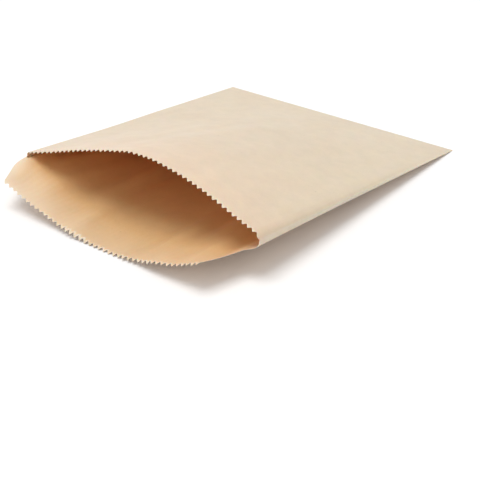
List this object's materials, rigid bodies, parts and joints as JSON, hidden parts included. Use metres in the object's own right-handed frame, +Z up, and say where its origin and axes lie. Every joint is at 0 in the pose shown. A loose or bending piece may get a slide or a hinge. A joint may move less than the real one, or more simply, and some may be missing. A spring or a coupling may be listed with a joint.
{
  "type": "flat paper bag",
  "caption": "Flat bag folded from one sheet of kraft paper, lying with its pinked mouth sprung open and a longer back lip, closed by a turned-over end.",
  "frame": {"origin": "centre of the bounding box in plan, on the surface that the bag lies on", "axes": "+Z up, +Y along the bag towards its closed end, so the mouth and lip face -Y; +X across the bag, to the right for someone looking into the mouth"},
  "size_m": [0.2, 0.2502, 0.0522],
  "materials": {
    "paper": "satin, unbleached kraft with a light wax coat"
  },
  "bodies": {
    "root": {"bag": "paper"}
  },
  "joints": []
}
